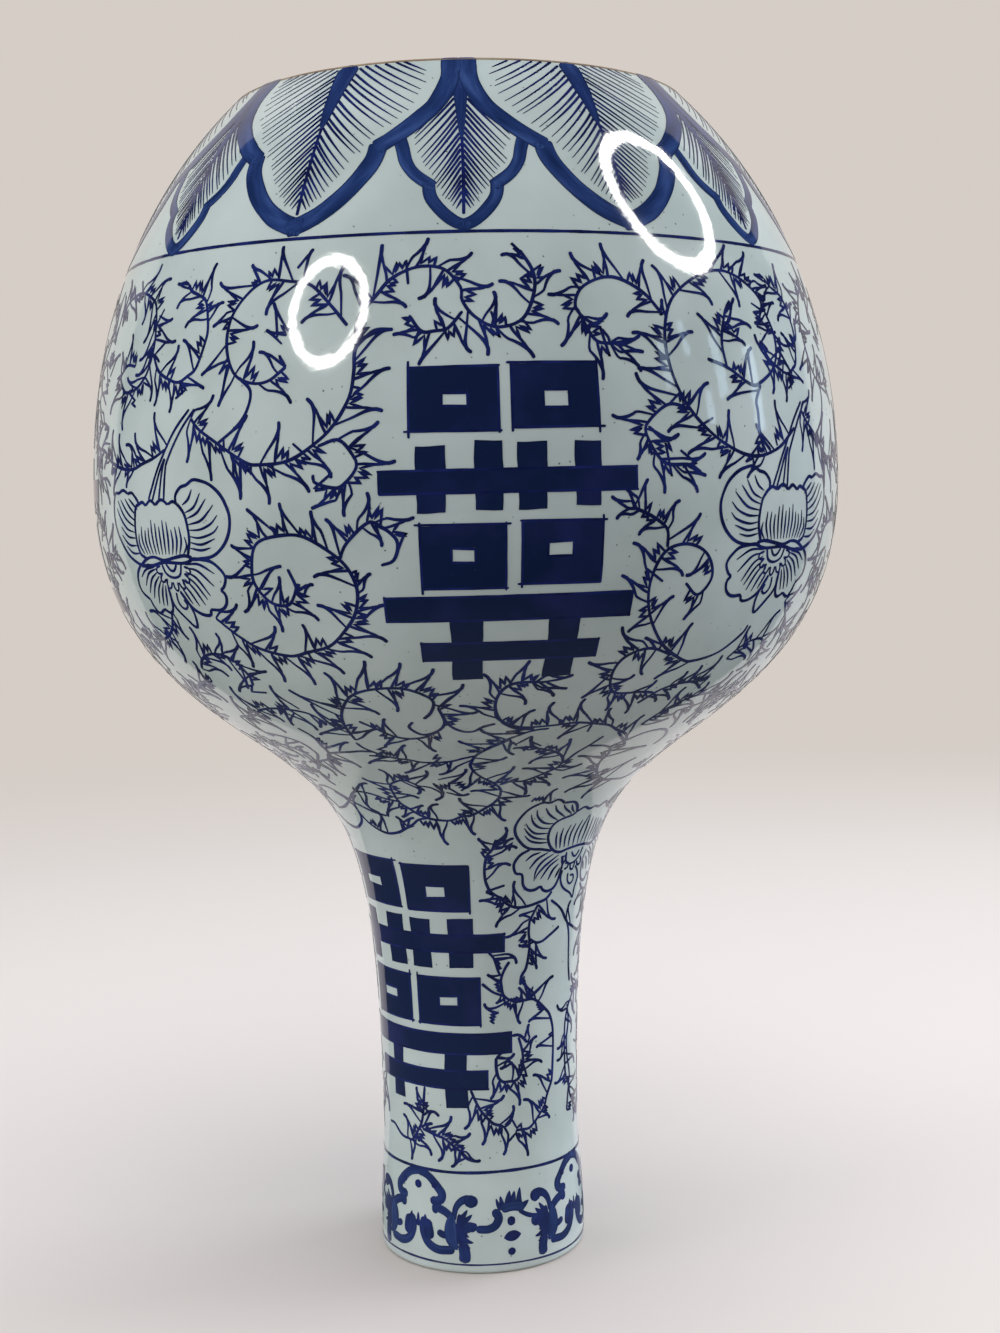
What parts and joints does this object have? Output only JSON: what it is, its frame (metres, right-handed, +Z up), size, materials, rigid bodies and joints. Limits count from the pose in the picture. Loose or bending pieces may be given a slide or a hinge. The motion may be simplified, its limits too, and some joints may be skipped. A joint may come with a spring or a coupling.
{
  "type": "globe vase",
  "caption": "Tall blue and white porcelain vase with a long neck and a globe body, shown standing on its mouth with its foot uppermost.",
  "frame": {"origin": "centre of the mouth's rim, in the plane that the vase stands on while it is mouth down", "axes": "+Z up along the vase's axis, from the mouth to the foot ring; -Y towards the viewer. Turn it 180 degrees about X to stand it on its foot."},
  "size_m": [0.32, 0.32, 0.5],
  "materials": {
    "glazed_porcelain": "clear glossy glaze over pale porcelain",
    "bare_porcelain": "unglazed fired clay",
    "cobalt_underglaze": "cobalt blue painting under a clear glossy glaze"
  },
  "bodies": {
    "root": {"mouth_rim": "glazed_porcelain", "neck": "glazed_porcelain", "shoulder": "glazed_porcelain", "belly": "glazed_porcelain", "foot_section": "glazed_porcelain", "base_disc": "glazed_porcelain", "rim_luting_coil": "bare_porcelain", "neck_luting_coil": "bare_porcelain", "globe_luting_coil": "bare_porcelain", "foot_luting_coil": "bare_porcelain", "base_luting_coil": "bare_porcelain"}
  },
  "joints": []
}
